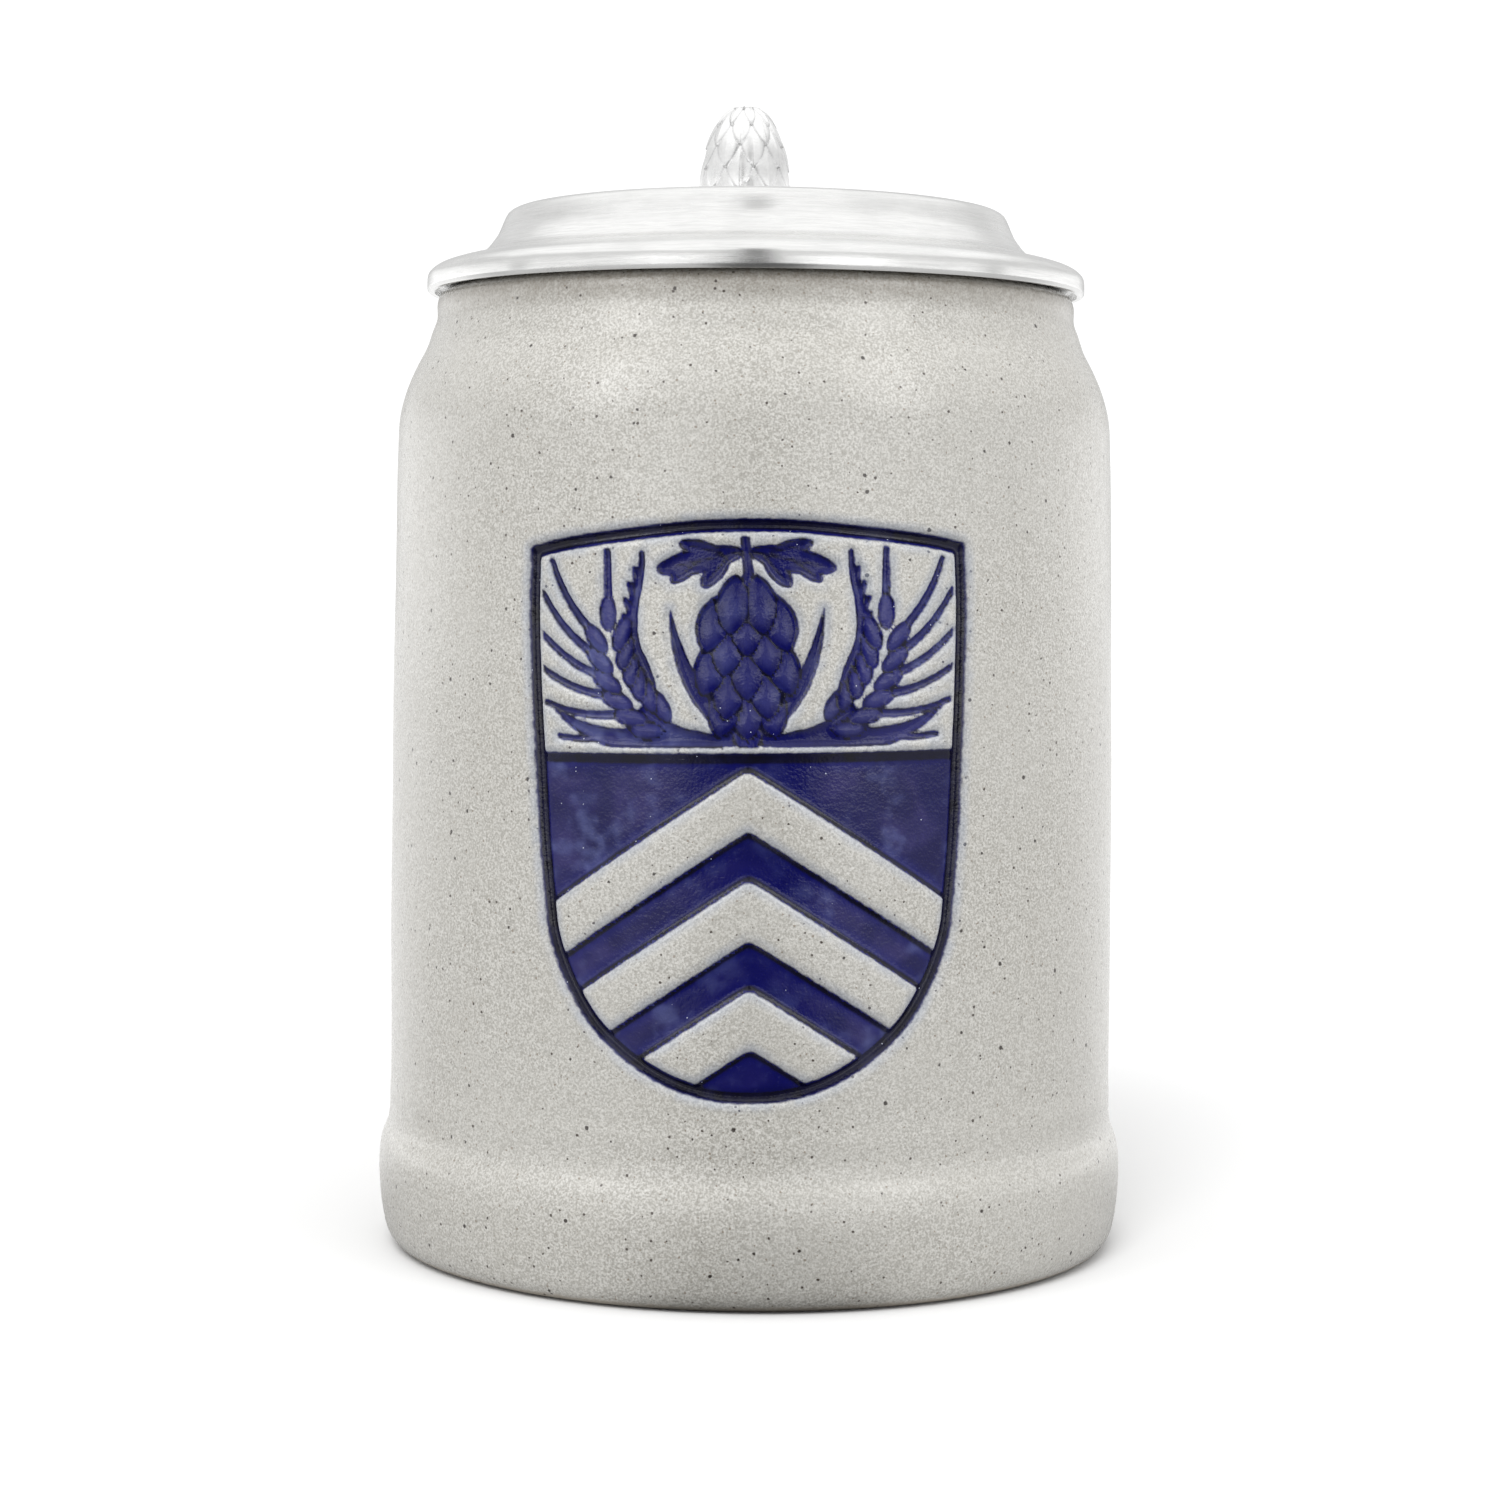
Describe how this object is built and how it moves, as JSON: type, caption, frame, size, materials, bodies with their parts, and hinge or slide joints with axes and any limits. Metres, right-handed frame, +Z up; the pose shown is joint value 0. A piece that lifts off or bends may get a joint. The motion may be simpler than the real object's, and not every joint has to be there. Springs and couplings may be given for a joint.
{
  "type": "lidded beer stein",
  "caption": "Cylindrical stoneware drinking mug with a loop handle and a hinged pewter lid worked by a thumb lift above the handle.",
  "frame": {"origin": "centre of the flat base the mug stands on", "axes": "+Z up the mug's axis, +Y towards the handle and hinge, -Y towards the emblem, +X to the right seen from the emblem's side"},
  "size_m": [0.0984, 0.1375, 0.1561],
  "materials": {
    "stoneware": "salt glaze, satin with fine specks",
    "lid_pewter": "spun pewter, turned satin",
    "shank_pewter": "cast pewter, satin",
    "thumb_pewter": "cast pewter, polished",
    "strap_pewter": "cast pewter, satin",
    "block_pewter": "cast pewter, satin",
    "pin_steel": "drawn wire",
    "cap_left_pewter": "cast pewter, polished",
    "cap_right_pewter": "cast pewter, polished"
  },
  "bodies": {
    "mug": {"mug_body": "stoneware", "handle_strap": "strap_pewter", "hinge_block": "block_pewter", "hinge_pin": "pin_steel", "pin_cap_left": "cap_left_pewter", "pin_cap_right": "cap_right_pewter"},
    "lid": {"lid": "lid_pewter", "lid_shank": "shank_pewter", "thumb_lift": "thumb_pewter"}
  },
  "joints": [
    {"name": "lid_hinge", "type": "hinge", "parent": "mug", "child": "lid", "pos_m": [0, 0.05, 0.1275], "axis": [-1, 0, 0], "range_deg": [0, 100]}
  ]
}
